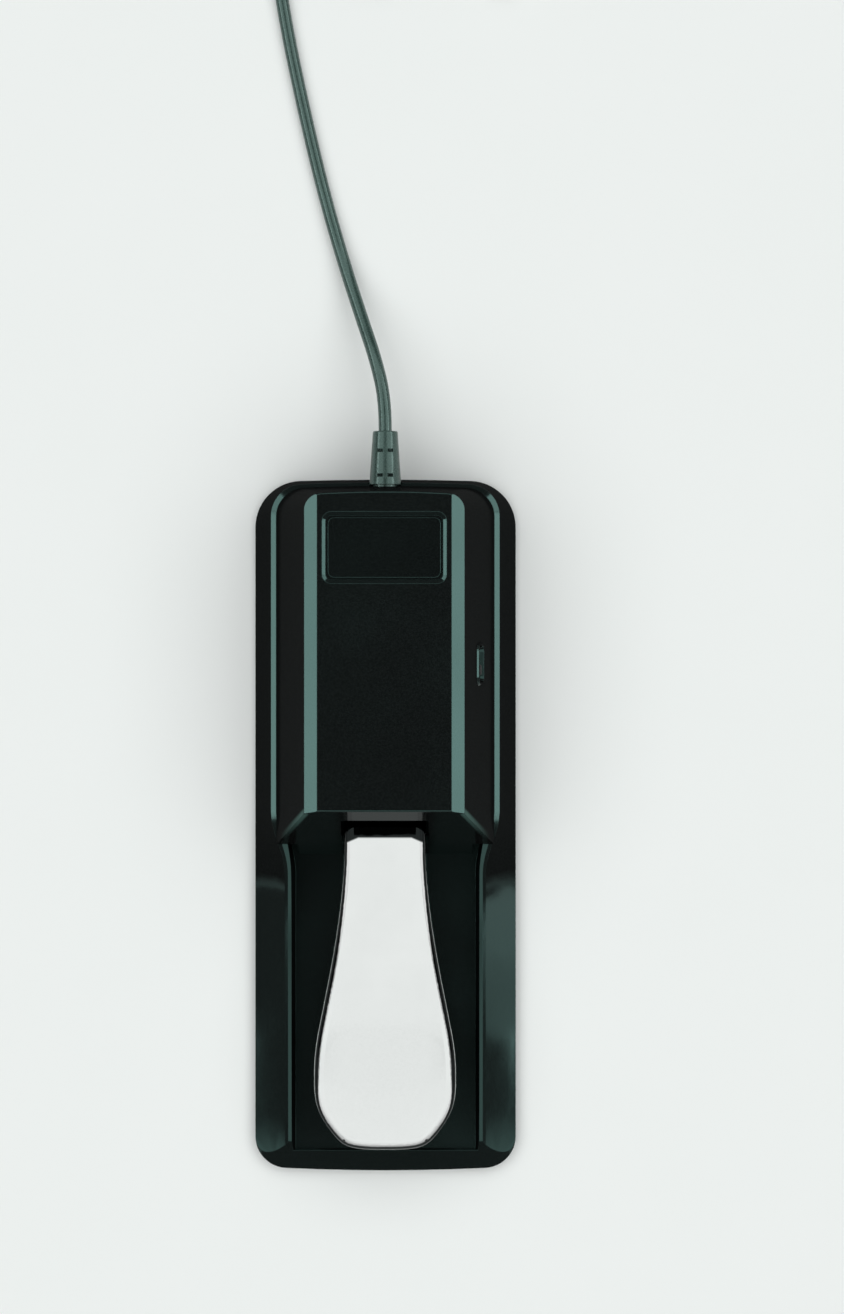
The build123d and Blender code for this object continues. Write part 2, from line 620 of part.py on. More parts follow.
with BuildPart() as foot_blank:
    with BuildSketch(Plane.XY.offset(20)):
        make_face(foot_plan(0, ARM_START + SHEET))
    extrude(amount=20)
    with BuildSketch(Plane.YZ.offset(-30)):
        make_face(foot_side(0, SKIRT_DEPTH, NOSE_Y - 1, ARM_START + SHEET))
    extrude(amount=60, mode=Mode.INTERSECT)
    tread_faces = foot_blank.faces().filter_by(lambda face: face.normal_at().Z > 0.8)
    fillet(tread_faces.edges().filter_by(lambda edge: abs(edge.center().X) > 1.0), SKIN_ROUND)

with BuildPart() as foot_hollow:
    with BuildSketch(Plane.XY.offset(15)):
        make_face(foot_plan(SHEET, ARM_START + SHEET + 1))
    extrude(amount=25)
    with BuildSketch(Plane.YZ.offset(-30)):
        make_face(foot_side(SHEET, SKIRT_DEPTH + 6, NOSE_Y + SHEET, ARM_START + SHEET + 1))
    extrude(amount=60, mode=Mode.INTERSECT)

with BuildPart() as pedal_lever:
    add(foot_blank.part)
    add(foot_hollow.part, mode=Mode.SUBTRACT)
    # Channel arm back to the tail
    with Locations((0, (ARM_START + ARM_REAR) / 2, ARM_TOP - SKIRT_DEPTH / 2)):
        Box(2 * ARM_HALF, ARM_REAR - ARM_START, SKIRT_DEPTH)
    with Locations((0, (ARM_START + ARM_REAR - SHEET) / 2, ARM_TOP - SHEET - SKIRT_DEPTH / 2)):
        Box(2 * (ARM_HALF - SHEET), ARM_REAR - SHEET - ARM_START, SKIRT_DEPTH, mode=Mode.SUBTRACT)
    # Webs that close the sides where the neck narrows to the arm
    with Locations((0, ARM_START + SHEET / 2, ARM_TOP - SKIRT_DEPTH / 2)):
        with GridLocations(ARM_HALF + NECK_HALF - SHEET, 0, 2, 1):
            Box(NECK_HALF - ARM_HALF + SHEET, SHEET, SKIRT_DEPTH)
    # Tube across the arm that carries the bushings
    with Locations(Location((0, PIVOT_Y, PIVOT_Z), (0, 90, 0))):
        Cylinder(KNUCKLE_R, 2 * KNUCKLE_HALF)
        Cylinder(BUSH_R, 2 * KNUCKLE_HALF, mode=Mode.SUBTRACT)
    # Threaded hole of the actuator screw
    with Locations((0, PLUNGER_Y, ARM_TOP)):
        Cylinder(2.02, 8.0, mode=Mode.SUBTRACT)
save(pedal_lever.part, "pedal_lever")

with BuildPart() as pivot_bushings:
    for side in (-1, 1):
        with Locations(Location((side * 9.0, PIVOT_Y, PIVOT_Z), (0, 90, 0))):
            Cylinder(BUSH_R - 0.01, 10.0)
        with Locations(Location((side * (KNUCKLE_HALF + 0.6), PIVOT_Y, PIVOT_Z), (0, 90, 0))):
            Cylinder(5.8, 1.2)
    with Locations(Location((0, PIVOT_Y, PIVOT_Z), (0, 90, 0))):
        Cylinder(SHAFT_R + CLEAR, 40.0, mode=Mode.SUBTRACT)
save(pivot_bushings.part, "pivot_bushings")

with BuildPart() as actuator_screw:
    with Locations((0, PLUNGER_Y, SWITCH_Z[1] + 1.9)):
        Cylinder(1.99, 14.4, align=(Align.CENTER, Align.CENTER, Align.MIN))
    fillet(actuator_screw.faces().sort_by(Axis.Z)[0].edges(), 1.0)
    with Locations((0, PLUNGER_Y, SWITCH_Z[1] + 1.9 + 14.4)):
        Box(4.2, 0.8, 2.0, mode=Mode.SUBTRACT)
save(actuator_screw.part, "actuator_screw")

with BuildPart() as lock_nut:
    with BuildSketch(Plane.XY.offset(ARM_TOP)):
        with Locations((0, PLUNGER_Y)):
            RegularPolygon(4.0, 6)
            Circle(2.0, mode=Mode.SUBTRACT)
    extrude(amount=2.4)
save(lock_nut.part, "lock_nut")

# Spring and stops ----------------------------------------------------------------------------------
with BuildPart() as spring_seat:
    with Locations((0, SPRING_Y, FLOOR_Z)):
        Cylinder(8.2, SPRING_Z[0] - FLOOR_Z, align=(Align.CENTER, Align.CENTER, Align.MIN))
        Cylinder(4.7, SPRING_Z[0] - FLOOR_Z + 3.0, align=(Align.CENTER, Align.CENTER, Align.MIN))
    chamfer(spring_seat.faces().sort_by(Axis.Z)[-1].edges(), 0.8)
save(spring_seat.part, "spring_seat")

with BuildPart() as spring_cap:
    with Locations((0, SPRING_Y, SPRING_Z[1] - 3.0)):
        Cylinder(4.7, 3.0, align=(Align.CENTER, Align.CENTER, Align.MIN))
    with Locations((0, SPRING_Y, SPRING_Z[1])):
        Cylinder(7.6, ARM_TOP - SHEET - SPRING_Z[1], align=(Align.CENTER, Align.CENTER, Align.MIN))
    chamfer(spring_cap.faces().sort_by(Axis.Z)[0].edges(), 0.8)
save(spring_cap.part, "spring_cap")

with BuildPart() as return_spring:
    spring_height = SPRING_Z[1] - SPRING_Z[0] - 2 * SPRING_WIRE
    with BuildLine(Plane.XY.offset(SPRING_Z[0] + SPRING_WIRE)) as coil_line:
        Helix(
            pitch=spring_height / SPRING_TURNS,
            height=spring_height,
            radius=SPRING_R,
            center=(0, SPRING_Y, 0),
        )
    with BuildSketch(coil_line.line ^ 0):
        Circle(SPRING_WIRE)
    sweep()
save(return_spring.part, "return_spring")

with BuildPart() as up_stop_bumper:
    with Locations((0, UP_STOP_Y, 26.0)):
        Cylinder(6.0, ARM_TOP - SHEET - 0.2 - 26.0, align=(Align.CENTER, Align.CENTER, Align.MIN))
    fillet(up_stop_bumper.faces().sort_by(Axis.Z)[-1].edges(), 1.0)
save(up_stop_bumper.part, "up_stop_bumper")

with BuildPart() as down_stop_bumper:
    with Locations((0, DOWN_STOP_Y, 21.0)):
        Cylinder(4.4, 7.8, align=(Align.CENTER, Align.CENTER, Align.MIN))
    fillet(down_stop_bumper.faces().sort_by(Axis.Z)[-1].edges(), 1.0)
save(down_stop_bumper.part, "down_stop_bumper")

# Foot switch ---------------------------------------------------------------------------------------
switch_height = SWITCH_Z[1] - SWITCH_Z[0]
with BuildPart() as micro_switch:
    with Locations((0, SWITCH_Y, SWITCH_Z[0])):
        Box(
            2 * SWITCH_HALF[0],
            2 * SWITCH_HALF[1],
            switch_height,
            align=(Align.CENTER, Align.CENTER, Align.MIN),
        )
    chamfer(micro_switch.edges().filter_by(Axis.X), 0.6)
    with Locations(*[Location((0, SWITCH_Y + dy, 15.0), (0, 90, 0)) for dy in (-4.8, 4.8)]):
        Cylinder(1.1, 3 * SWITCH_HALF[0], mode=Mode.SUBTRACT)
    with Locations((0, PLUNGER_Y, SWITCH_Z[1] - 5.6)):
        Cylinder(1.65, 6.0, align=(Align.CENTER, Align.CENTER, Align.MIN), mode=Mode.SUBTRACT)
save(micro_switch.part, "micro_switch")

with BuildPart() as switch_plunger:
    with Locations((0, PLUNGER_Y, SWITCH_Z[1] - 3.8)):
        Cylinder(1.6, 5.6, align=(Align.CENTER, Align.CENTER, Align.MIN))
    fillet(switch_plunger.faces().sort_by(Axis.Z)[-1].edges(), 0.5)
save(switch_plunger.part, "switch_plunger")

with BuildPart() as switch_terminals:
    with Locations(*[(0, SWITCH_Y + dy, SWITCH_Z[0] - 3.4) for dy in (-7.0, 0.0, 7.0)]):
        Box(0.5, 3.2, 3.4, align=(Align.CENTER, Align.CENTER, Align.MIN))
save(switch_terminals.part, "switch_terminals")

# Circuit board and polarity switch -----------------------------------------------------------------
with BuildPart() as circuit_board:
    with BuildSketch(Plane.YZ.offset(BOARD_X)):
        with Locations(((BOARD_SCREWS_Y[0] + BOARD_SCREWS_Y[1]) / 2, POLARITY_Z)):
            RectangleRounded(36.0, 19.0, 2.0)
        with Locations(*[(y, POLARITY_Z) for y in BOARD_SCREWS_Y]):
            Circle(1.3, mode=Mode.SUBTRACT)
    extrude(amount=BOARD_THICK)
save(circuit_board.part, "circuit_board")

CASE_X = BOARD_X + BOARD_THICK
with BuildPart() as polarity_case:
    with Locations((CASE_X, POLARITY_Y, POLARITY_Z)):
        Box(4.6, 12.4, 7.0, align=(Align.MIN, Align.CENTER, Align.CENTER))
    with Locations((CASE_X + 1.4, POLARITY_Y, POLARITY_Z)):
        Box(4.0, 10.4, 3.6, align=(Align.MIN, Align.CENTER, Align.CENTER), mode=Mode.SUBTRACT)
save(polarity_case.part, "polarity_case")

with BuildPart() as polarity_slider:
    with Locations((CASE_X + 1.7, POLARITY_Y - 2.0, POLARITY_Z)):
        Box(2.6, 5.6, 3.2, align=(Align.MIN, Align.CENTER, Align.CENTER))
    with Locations((CASE_X + 4.0, POLARITY_Y - 2.0, POLARITY_Z)):
        Box(4.8, 3.6, 3.2, align=(Align.MIN, Align.CENTER, Align.CENTER))
    thumb = polarity_slider.faces().sort_by(Axis.X)[-1]
    chamfer(thumb.edges(), 0.4)
save(polarity_slider.part, "polarity_slider")


def wire(points, radius, bend):
    """Round wire along straight runs joined by equal arcs."""
    with BuildPart(mode=Mode.PRIVATE) as lead:
        with BuildLine() as path:
            FilletPolyline(*points, radius=bend)
        with BuildSketch(path.line ^ 0):
            Circle(radius)
        sweep()
    return lead.part


terminal_x = 0.25
lead_routes = [
    [(terminal_x, 38.5, 10.6), (9, 38.5, 10.6), (18.5, 42.5, 12), (20, 46, 22), (20, 47, 35), (BOARD_X, 47, 35)],
    [(terminal_x, 51.7, 10.6), (13, 51.2, 10.6), (19.6, 50.5, 14), (20, 51, 34), (BOARD_X, 51, 34)],
    [(0.9, 94, CORD_Z), (0.9, 90, CORD_Z), (14, 87.5, 21), (19.6, 80, 24), (20, 72.5, 34), (BOARD_X, 72.5, 34)],
    [(-0.9, 94, CORD_Z), (-0.9, 89, CORD_Z), (13, 84, 17.5), (19.4, 77, 21), (20, 67, 33), (BOARD_X, 67, 33)],
]
save(Compound(children=[wire(route, 0.55, 1.6) for route in lead_routes]), "inner_leads")

# Cable entry ---------------------------------------------------------------------------------------
with BuildPart() as inner_cable:
    with Locations(Location((0, 111.6, CORD_Z), (90, 0, 0))):
        Cylinder(CORD_R, 111.6 - 94.0, align=(Align.CENTER, Align.CENTER, Align.MIN))
save(inner_cable.part, "inner_cable")

with BuildPart() as cable_clamp:
    with Locations((0, CLAMP_Y, CORD_Z + CORD_R)):
        Box(20.0, 6.0, 2.5, align=(Align.CENTER, Align.CENTER, Align.MIN))
    fillet(cable_clamp.edges().filter_by(Axis.Z), 2.0)
    with Locations((-CLAMP_X, CLAMP_Y, CORD_Z), (CLAMP_X, CLAMP_Y, CORD_Z)):
        Cylinder(1.4, 10.0, mode=Mode.SUBTRACT)
save(cable_clamp.part, "cable_clamp")

with BuildPart() as strain_relief:
    with BuildSketch(Plane.YZ):
        with BuildLine():
            Polyline(
                (111.6, CORD_Z),
                (111.6, CORD_Z + 5.4),
                (113.4, CORD_Z + 5.4),
                (113.4, CORD_Z + 4.25),
                (BOOT_START, CORD_Z + 4.25),
                (BOOT_START, CORD_Z + BOOT_R[0]),
                (BOOT_END, CORD_Z + BOOT_R[1]),
                (BOOT_END, CORD_Z),
                close=True,
            )
        make_face()
    revolve(axis=Axis((0, 0, CORD_Z), (0, 1, 0)))
    fillet(strain_relief.faces().sort_by(Axis.Y)[-1].edges(), 0.5)
    # Flex slots, either side of a spine, above and below
    with Locations(*[(x, y, CORD_Z) for x in (-1.75, 1.75) for y in (120.3, 128.8)]):
        Box(1.9, 1.1, 20.0, mode=Mode.SUBTRACT)
    with Locations((0, (BOOT_START + BOOT_END) / 2, CORD_Z)):
        Box(6.0, BOOT_END - BOOT_START - 1.0, 4.6)
save(strain_relief.part, "strain_relief")

# Cord and plug -------------------------------------------------------------------------------------


def corner_radii(points):
    """Radius of each corner's arc, as large as its two runs allow."""
    radii = []
    for before, corner, after in zip(points, points[1:], points[2:]):
        run_in = Vector(corner) - Vector(before)
        run_out = Vector(after) - Vector(corner)
        turn = math.radians(run_in.get_angle(run_out))
        radii.append(0.45 * min(run_in.length, run_out.length) / math.tan(turn / 2))
    return radii


def cord_tube(points, name):
    """Tube of the cord along straight runs joined by tangent arcs."""
    radii = corner_radii(points)
    with BuildPart(mode=Mode.PRIVATE) as tube:
        with BuildLine() as path:
            FilletPolyline(*points, radius=radii)
        with BuildSketch(path.line ^ 0):
            Circle(CORD_R)
        sweep()
    length = path.wires()[0].length
    print(name, "radii", [round(radius, 1) for radius in radii], "length", round(length, 1))
    print(name, "volume", round(tube.part.volume, 1), "section x length", round(math.pi * CORD_R**2 * length, 1))
    save(tube.part, name)


cord_tube(LEAD_ROUTE, "cord_lead")
cord_tube(TAIL_ROUTE, "cord_tail")

with BuildPart() as cord_coil:
    with BuildSketch(Plane.XZ):
        with Locations(((COIL_RING[0] + COIL_RING[1]) / 2, COIL_LIFT + CORD_D)):
            RectangleRounded(COIL_RING[1] - COIL_RING[0] + CORD_D, 2 * CORD_D, CORD_R)
    revolve(axis=Axis.Z)
save(cord_coil.part.moved(Location((COIL_X, COIL_Y, 0))), "cord_coil")

with BuildPart() as coil_tie:
    with Locations((COIL_X, COIL_Y - sum(COIL_RING) / 2, COIL_LIFT + CORD_D)):
        Box(6.0, COIL_RING[1] - COIL_RING[0] + CORD_D + 2 * TIE_THICK, 2 * (CORD_D + TIE_THICK))
        Box(8.0, COIL_RING[1] - COIL_RING[0] + CORD_D, 2 * CORD_D, mode=Mode.SUBTRACT)
save(coil_tie.part, "coil_tie")


def plug_piece(profile, name):
    """Round plug piece from its half profile, given as distance along the axis and radius."""
    with BuildPart(mode=Mode.PRIVATE) as piece:
        with BuildSketch(Plane.YZ):
            with BuildLine():
                Polyline(*[(y, radius) for y, radius in profile], close=True)
            make_face()
        revolve(axis=Axis.Y)
    save(piece.part.moved(Location((PLUG_X, 0, PLUG_Z))), name)


relief_y, handle_y, collar_y, ring_y, tip_y, end_y = PLUG_Y
plug_piece([(relief_y, 0), (relief_y, 2.9), (handle_y, 4.2), (handle_y, 0)], "plug_relief")
plug_piece(
    [
        (handle_y, 0),
        (handle_y, 4.8),
        (handle_y - 1.0, 5.5),
        (collar_y + 1.0, 5.5),
        (collar_y, 5.0),
        (collar_y, 0),
    ],
    "plug_handle",
)
plug_piece([(collar_y, 0), (collar_y, SLEEVE_R), (ring_y, SLEEVE_R), (ring_y, 0)], "plug_sleeve")
plug_piece([(ring_y, 0), (ring_y, SLEEVE_R), (tip_y, SLEEVE_R), (tip_y, 0)], "plug_insulator")
plug_piece(
    [
        (tip_y, 0),
        (tip_y, SLEEVE_R),
        (tip_y - 1.6, SLEEVE_R),
        (tip_y - 3.6, 2.3),
        (tip_y - 5.2, 3.0),
        (end_y + 0.6, 1.2),
        (end_y, 0.6),
        (end_y, 0),
    ],
    "plug_tip",
)
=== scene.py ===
"""Sustain pedal: the looks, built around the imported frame.

Metres, except where a comment says millimetres. +Z is up and +Y is to the rear, where the cord
leaves. The origin is under the middle of the housing.
"""

import json
import math

import bpy
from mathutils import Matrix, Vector


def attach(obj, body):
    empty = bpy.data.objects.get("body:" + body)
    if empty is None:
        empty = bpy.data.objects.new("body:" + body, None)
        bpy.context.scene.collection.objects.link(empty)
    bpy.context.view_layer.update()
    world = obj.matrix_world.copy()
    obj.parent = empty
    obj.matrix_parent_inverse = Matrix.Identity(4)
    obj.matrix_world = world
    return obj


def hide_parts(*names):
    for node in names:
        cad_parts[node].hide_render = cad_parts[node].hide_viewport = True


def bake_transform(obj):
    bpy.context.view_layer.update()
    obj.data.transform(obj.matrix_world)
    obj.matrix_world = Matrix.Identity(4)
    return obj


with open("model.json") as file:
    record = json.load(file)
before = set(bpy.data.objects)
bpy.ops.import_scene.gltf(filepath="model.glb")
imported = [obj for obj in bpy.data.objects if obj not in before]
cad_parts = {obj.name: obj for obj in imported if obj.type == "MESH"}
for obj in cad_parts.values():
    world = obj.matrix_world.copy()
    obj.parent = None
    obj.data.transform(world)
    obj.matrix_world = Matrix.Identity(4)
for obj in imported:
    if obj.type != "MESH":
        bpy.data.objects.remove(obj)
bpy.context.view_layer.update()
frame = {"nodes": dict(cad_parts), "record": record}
NODES = frame["nodes"]
SLOT_OF = {part["node"]: part["material_slot"] for part in frame["record"]["subparts"]}
MM = 0.001


def add_object(name, data):
    """New object with this data, put into the scene."""
    thing = bpy.data.objects.new(name, data)
    bpy.context.scene.collection.objects.link(thing)
    return thing


# Camera, looking straight down -------------------------------------------------------------------
CAMERA_AT = (0.0126, 0.0581, 1.709)
LENS = 135.0

camera = add_object("camera", bpy.data.cameras.new("camera"))
camera.location = CAMERA_AT
camera.data.lens = LENS
bpy.context.scene.camera = camera
bpy.context.scene.view_settings.view_transform = "Standard"

# Cord --------------------------------------------------------------------------------------------
CORD_MM = 4.5
CORD_D = CORD_MM * MM
# From the strain relief to the coil, and from the coil to the plug, in millimetres
LEAD_ROUTE = [
    (0.0, 135.5, 20.0),
    (0.0, 146.0, 20.0),
    (-3.2, 160.0, 17.4),
    (-8.2, 175.0, 10.6),
    (-14.0, 193.0, 4.0),
    (-21.0, 217.0, 2.4),
    (-28.0, 246.0, 2.4),
    (-34.6, 277.0, 2.4),
    (-38.6, 304.0, 3.05),
    (-39.25, 321.0, 3.05),
]
TAIL_ROUTE = [
    (-27.3, 361.6, 7.55),
    (-15.0, 371.6, 6.4),
    (-2.3, 381.0, 4.6),
    (6.4, 384.5, 3.5),
    (15.6, 385.1, 2.7),
    (24.6, 382.6, 2.4),
    (32.3, 377.5, 3.1),
    (38.0, 370.1, 4.8),
    (41.0, 361.3, 6.0),
    (41.0, 352.0, 6.0),
]
# Coil, in millimetres: the heights are those of the cord's centre in the two layers
COIL_CENTRE = (-3.25, 334.0)
COIL_OUTER = 36.0
COIL_LOW = 3.05
COIL_HIGH = COIL_LOW + CORD_MM
LAYER_TURNS = 4.0
CLIMB_END = LAYER_TURNS + 1
LEAVE_TURN = 9.06
POINTS_PER_TURN = 18
START_DEGREES = 180.0
# How finely Blender draws the cord, round it and along it
CORD_SIDES = 5
CORD_STEPS = 6


def coil_place(turn):
    """Radius and height of the cord this many turns into the coil, in millimetres."""
    if turn <= LAYER_TURNS:
        return COIL_OUTER - CORD_MM * turn, COIL_LOW
    if turn <= CLIMB_END:
        lift = (turn - LAYER_TURNS) * math.pi / 2
        below = coil_place(turn - 1)[0]
        return below - CORD_MM * math.cos(lift), COIL_LOW + CORD_MM * math.sin(lift)
    if turn <= CLIMB_END + 1:
        radius, height = coil_place(turn - 1)
        return radius + math.sqrt(max(0.0, CORD_MM**2 - (COIL_HIGH - height) ** 2)), COIL_HIGH
    inner = COIL_OUTER - CORD_MM * LAYER_TURNS
    return inner + CORD_MM * (turn - CLIMB_END), COIL_HIGH


def coil_points():
    """The put-away turns: in along the floor, up one layer, and out again on top."""
    # The control points lie a little outside the turn that they shape
    control = 1 / math.cos(math.pi / POINTS_PER_TURN)
    points = []
    for step in range(int(LEAVE_TURN * POINTS_PER_TURN) + 1):
        turn = step / POINTS_PER_TURN
        radius, height = coil_place(turn)
        angle = math.radians(START_DEGREES - 360 * turn)
        x = COIL_CENTRE[0] + radius * control * math.cos(angle)
        y = COIL_CENTRE[1] + radius * control * math.sin(angle)
        points.append((x, y, height))
    return points


def make_cord():
    """The whole cord as one smooth line, from the strain relief to the plug."""
    curve = bpy.data.curves.new("cord", "CURVE")
    curve.dimensions = "3D"
    # A depth of one makes each point's own radius the cord's
    curve.bevel_depth = 1.0
    curve.bevel_resolution = CORD_SIDES
    curve.resolution_u = CORD_STEPS
    curve.use_fill_caps = True
    points = LEAD_ROUTE + coil_points() + TAIL_ROUTE
    spline = curve.splines.new("NURBS")
    spline.points.add(len(points) - 1)
    for point, place in zip(spline.points, points):
        point.co = (*(Vector(place) * MM), 1.0)
        point.radius = CORD_D / 2
    spline.order_u = 3
    spline.use_endpoint_u = True
    return add_object("cord", curve)


cord = make_cord()
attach(cord, "base")
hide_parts("cord_lead", "cord_coil", "cord_tail")

# Return spring, in millimetres -------------------------------------------------------------------
SPRING_AT = (0.0, 27.0)
SPRING_R = 6.0
WIRE_R = 0.8
SPRING_Z = (9.8, 30.2)
SPRING_TURNS = 6
SPRING_STEPS = 32
WIRE_SIDES = 12


def make_spring():
    """Coil spring of even pitch, wound from one seat up to the other."""
    count = SPRING_TURNS * SPRING_STEPS
    rise = (SPRING_Z[1] - SPRING_Z[0]) / (2 * math.pi * SPRING_TURNS)
    points, faces = [], []
    for step in range(count + 1):
        angle = 2 * math.pi * step / SPRING_STEPS
        out = Vector((math.cos(angle), math.sin(angle), 0.0))
        along = Vector((-SPRING_R * math.sin(angle), SPRING_R * math.cos(angle), rise)).normalized()
        up = out.cross(along)
        middle = Vector((*SPRING_AT, SPRING_Z[0] + rise * angle)) + SPRING_R * out
        for side in range(WIRE_SIDES):
            turn = 2 * math.pi * side / WIRE_SIDES
            points.append((middle + WIRE_R * (math.cos(turn) * out + math.sin(turn) * up)) * MM)
    for here in range(0, count * WIRE_SIDES, WIRE_SIDES):
        above = here + WIRE_SIDES
        for side in range(WIRE_SIDES):
            after = (side + 1) % WIRE_SIDES
            faces.append((here + side, above + side, above + after, here + after))
    faces.append(tuple(range(WIRE_SIDES)))
    faces.append(tuple(reversed(range(count * WIRE_SIDES, (count + 1) * WIRE_SIDES))))
    mesh = bpy.data.meshes.new("spring_wire")
    mesh.from_pydata(points, [], faces)
    mesh.shade_smooth()
    return add_object("spring_wire", mesh)


spring = make_spring()
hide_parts("return_spring")
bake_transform(spring)

# Node trees --------------------------------------------------------------------------------------
RISING = (0.0, 1.0)
FALLING = (1.0, 0.0)
NEUTRAL = (1.0, 1.0, 1.0)
# Where most values of one noise lie, and those of two noises added up
NOISE_SPREAD = (0.3, 0.7)
PAIR_SPREAD = (0.7, 1.3)
# Colour sockets of a Mix node, whose names its other sockets share
MIX_DARK, MIX_LIGHT, MIX_COLOUR = 6, 7, 2
WAVE_LENGTH = math.pi / 10
EDGE_SAMPLES = 6


class Nodes:
    """Node tree that is filled one node at a time."""

    def __init__(self, tree):
        self.tree = tree

    def link(self, source, target):
        """Joins an output to an input."""
        self.tree.links.new(source, target)

    def add(self, kind, inputs=(), **settings):
        """A node with these settings, its inputs linked or set by name or number."""
        node = self.tree.nodes.new(kind)
        for key, value in settings.items():
            setattr(node, key, value)
        for key, value in dict(inputs).items():
            if isinstance(value, bpy.types.NodeSocket):
                self.link(value, node.inputs[key])
            else:
                node.inputs[key].default_value = value
        return node

    def parts(self, vector):
        """The X, Y and Z of a vector."""
        return self.add("ShaderNodeSeparateXYZ", {"Vector": vector}).outputs

    def span(self, value, span, target, interpolation="LINEAR"):
        """The value, moved from one range to another and kept inside it."""
        ends = {"From Min": span[0], "From Max": span[1], "To Min": target[0], "To Max": target[1]}
        made = self.add(
            "ShaderNodeMapRange", {"Value": value, **ends}, interpolation_type=interpolation
        )
        return made.outputs["Result"]

    def calc(self, operation, first, second=0.0):
        """One value from two, by this operation of the Math node."""
        return self.add("ShaderNodeMath", {0: first, 1: second}, operation=operation).outputs[0]


class Skin(Nodes):
    """One procedural material, laid out in the object's own coordinates."""

    def __init__(self, name, colour, roughness, metallic=0.0, specular=0.5, tint=NEUTRAL):
        self.material = bpy.data.materials.new(name)
        self.material.use_nodes = True
        super().__init__(self.material.node_tree)
        self.shader = self.tree.nodes["Principled BSDF"]
        self.shader.inputs["Base Color"].default_value = (*colour, 1.0)
        self.shader.inputs["Roughness"].default_value = roughness
        self.shader.inputs["Metallic"].default_value = metallic
        self.shader.inputs["Specular IOR Level"].default_value = specular
        self.shader.inputs["Specular Tint"].default_value = (*tint, 1.0)
        coordinates = self.add("ShaderNodeTexCoord").outputs
        self.place = coordinates["Object"]
        self.normal = coordinates["Normal"]

    def noise(self, size, detail=3.0, stretch=(1.0, 1.0, 1.0)):
        """Cloudy pattern whose blotches are about this many metres across."""
        place = self.add("ShaderNodeMapping", {"Vector": self.place, "Scale": stretch})
        made = self.add(
            "ShaderNodeTexNoise",
            {"Vector": place.outputs["Vector"], "Scale": 1 / size, "Detail": detail},
        )
        return made.outputs["Fac"]

    def cells(self, size):
        """Rounded grains about this many metres across."""
        made = self.add("ShaderNodeTexVoronoi", {"Vector": self.place, "Scale": 1 / size})
        return made.outputs["Distance"]

    def bands(self, pitch, axis):
        """Even ridges this many metres apart, one after another along an axis."""
        made = self.add(
            "ShaderNodeTexWave",
            {"Vector": self.place, "Scale": WAVE_LENGTH / pitch},
            bands_direction=axis,
        )
        return made.outputs["Fac"]

    def blend(self, factor, dark, light):
        """Colour that runs from dark to light with the factor; dark may be another blend."""
        if not isinstance(dark, bpy.types.NodeSocket):
            dark = (*dark, 1.0)
        ends = {MIX_DARK: dark, MIX_LIGHT: (*light, 1.0)}
        return self.add("ShaderNodeMix", {0: factor, **ends}, data_type="RGBA").outputs[MIX_COLOUR]

    def colours(self, factor, dark, light):
        """Base colour that runs from dark to light with the factor."""
        self.link(self.blend(factor, dark, light), self.shader.inputs["Base Color"])

    def roughness(self, value):
        """Roughness from a value."""
        self.link(value, self.shader.inputs["Roughness"])

    def relief(self, height, depth, edge=0.25 * MM):
        """Fine relief of this depth in metres, over edges rounded by this radius."""
        rounded = self.add("ShaderNodeBevel", {"Radius": edge}, samples=EDGE_SAMPLES)
        made = self.add(
            "ShaderNodeBump",
            {"Height": height, "Distance": depth, "Normal": rounded.outputs["Normal"]},
        )
        self.link(made.outputs["Normal"], self.shader.inputs["Normal"])


def shade(colour, factor):
    """The colour this many times as light, but no lighter than white."""
    return tuple(min(1.0, factor * part) for part in colour)


# Housing and badge -------------------------------------------------------------------------------
HOUSING_BLACK = (0.005, 0.0055, 0.0055)
BADGE_BLACK = (0.004, 0.0045, 0.0045)
HOUSING_SHINE = (0.52, 1.0, 0.92)
HOUSING_GLOSS = (0.08, 0.17)
# Painted highlights along the cover's front corners, each a line seen from above, and their edges
# and heights
CORNER_TOP = (26.2 * MM, 6.4 * MM)
CORNER_FOOT = (37.3 * MM, -6.0 * MM)
CORNER_HIGHLIGHT = (0.055, 0.1, 0.09)
HIGHLIGHT_EDGE = (0.7 * MM, 1.5 * MM)
HIGHLIGHT_FADE = (27 * MM, 58 * MM)
HIGHLIGHT_END = (60.8 * MM, 61.6 * MM)
# Walls: how far a normal's parts must go for its wall to be steep or to face each way
FACES_SIDE = (0.6, 0.7)
FACES_REAR = (0.2, 0.4)
FACES_FRONT = (-0.97, -0.85)
FRONT_CALM = (0.82, 0.3)
LEVEL = (0.68, 0.78)
EDGE_ON = (0.24, 0.36)
MOST_CALM = 0.97
CALM_ROUGHNESS = 0.6


def housing_plastic(name, colour=HOUSING_BLACK):
    """Black gloss moulding with a faint ripple, dust-dulled patches, a cool shine and painted
    highlights down its front corners.
    """
    skin = Skin(name, colour, roughness=0.16, tint=HOUSING_SHINE)
    patch = skin.noise(45 * MM, detail=4.0)
    speck = skin.noise(0.6 * MM, detail=2.0)
    mottle = skin.calc("ADD", patch, skin.span(speck, NOISE_SPREAD, (-0.08, 0.08)))
    skin.roughness(skin.span(mottle, (0.25, 0.75), HOUSING_GLOSS))
    grain = skin.span(speck, (0.35, 0.65), RISING)
    black = skin.blend(grain, shade(colour, 0.75), shade(colour, 1.3))
    # Painted highlight along the two front corners, over the grainy black
    skin.colours(painted_corner_highlight(skin), black, CORNER_HIGHLIGHT)
    skin.relief(skin.noise(3 * MM, detail=2.0), depth=0.006 * MM)
    calm_walls(skin)
    return skin.material


